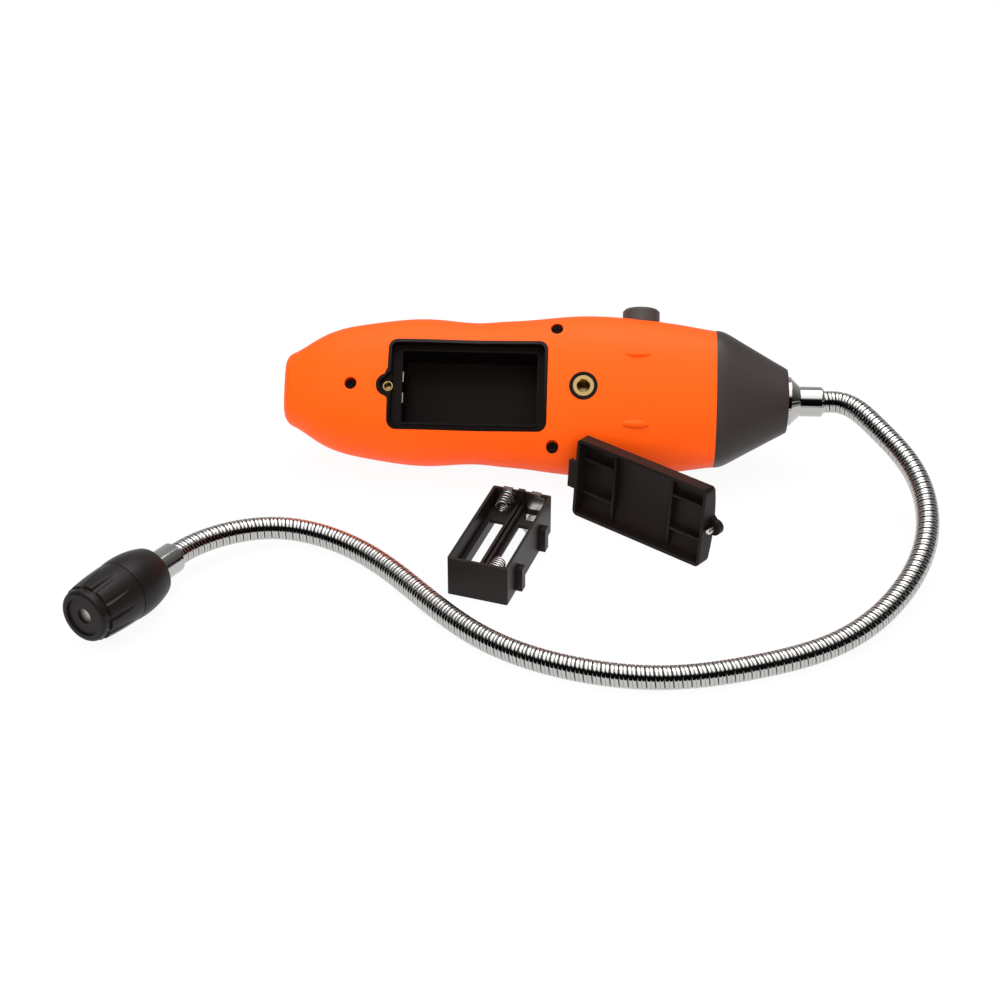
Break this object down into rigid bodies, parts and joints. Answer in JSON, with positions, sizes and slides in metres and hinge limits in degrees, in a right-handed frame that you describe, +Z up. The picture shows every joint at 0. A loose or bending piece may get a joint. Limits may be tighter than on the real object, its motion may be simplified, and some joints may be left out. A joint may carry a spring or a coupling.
{
  "type": "gas leak detector",
  "caption": "Handheld gas leak detector on its side: contoured two-shell housing, open battery compartment with cover and cell holder beside it, gooseneck and ribbed sensor head.",
  "frame": {"origin": "middle of the footprint of everything, on the table", "axes": "+Z up, +X towards the nose of the housing, -Y towards the front of the group where the battery cover stands"},
  "size_m": [0.3508, 0.2012, 0.0659],
  "materials": {
    "orange_shell": "fine satin texture",
    "black_tub": "satin moulded",
    "black_cone": "satin moulded",
    "black_knob": "satin moulded",
    "black_cover": "fine matt texture",
    "black_holder": "satin moulded",
    "head_black": "satin moulded",
    "grey_plastic": "matt",
    "brass_insert": "turned",
    "dark_screw": "blackened",
    "bright_chrome": "polished plating",
    "conduit_chrome": "polished plating",
    "plated_steel": "nickel plated",
    "sensor_metal": "matt",
    "green_board": "solder resist",
    "red_lens": "clear tinted"
  },
  "bodies": {
    "root": {"rear_shell": "orange_shell", "front_shell": "orange_shell", "battery_tub": "black_tub", "cover_insert": "brass_insert", "tripod_ring": "black_tub", "tripod_insert": "brass_insert", "case_screws": "dark_screw", "nose_cone": "black_cone", "nose_collar": "bright_chrome", "lock_nut": "plated_steel", "potentiometer": "plated_steel", "circuit_board": "green_board", "sounder": "black_tub", "indicator_lamps": "red_lens", "tub_contacts": "plated_steel", "gooseneck": "conduit_chrome", "head_collar": "bright_chrome", "head_sleeve": "head_black", "sensor_base": "grey_plastic", "sensor_element": "sensor_metal", "cell_holder": "black_holder", "holder_springs": "plated_steel", "holder_contacts": "plated_steel", "battery_cover": "black_cover", "cover_screw": "plated_steel"},
    "knob": {"knob": "black_knob"},
    "sensor_cap": {"sensor_cap": "head_black"}
  },
  "joints": [
    {"name": "knob_turn", "type": "hinge", "parent": "root", "child": "knob", "pos_m": [0.05643, 0.08916, 0.05594], "axis": [-0.0304, -0.6684, -0.7431], "range_deg": [0, 280]},
    {"name": "cap_unscrew", "type": "hinge", "parent": "root", "child": "sensor_cap", "pos_m": [-0.15514, -0.05233, 0.01355], "axis": [-0.5257, -0.8478, 0.0698], "range_deg": [0, 720]}
  ]
}
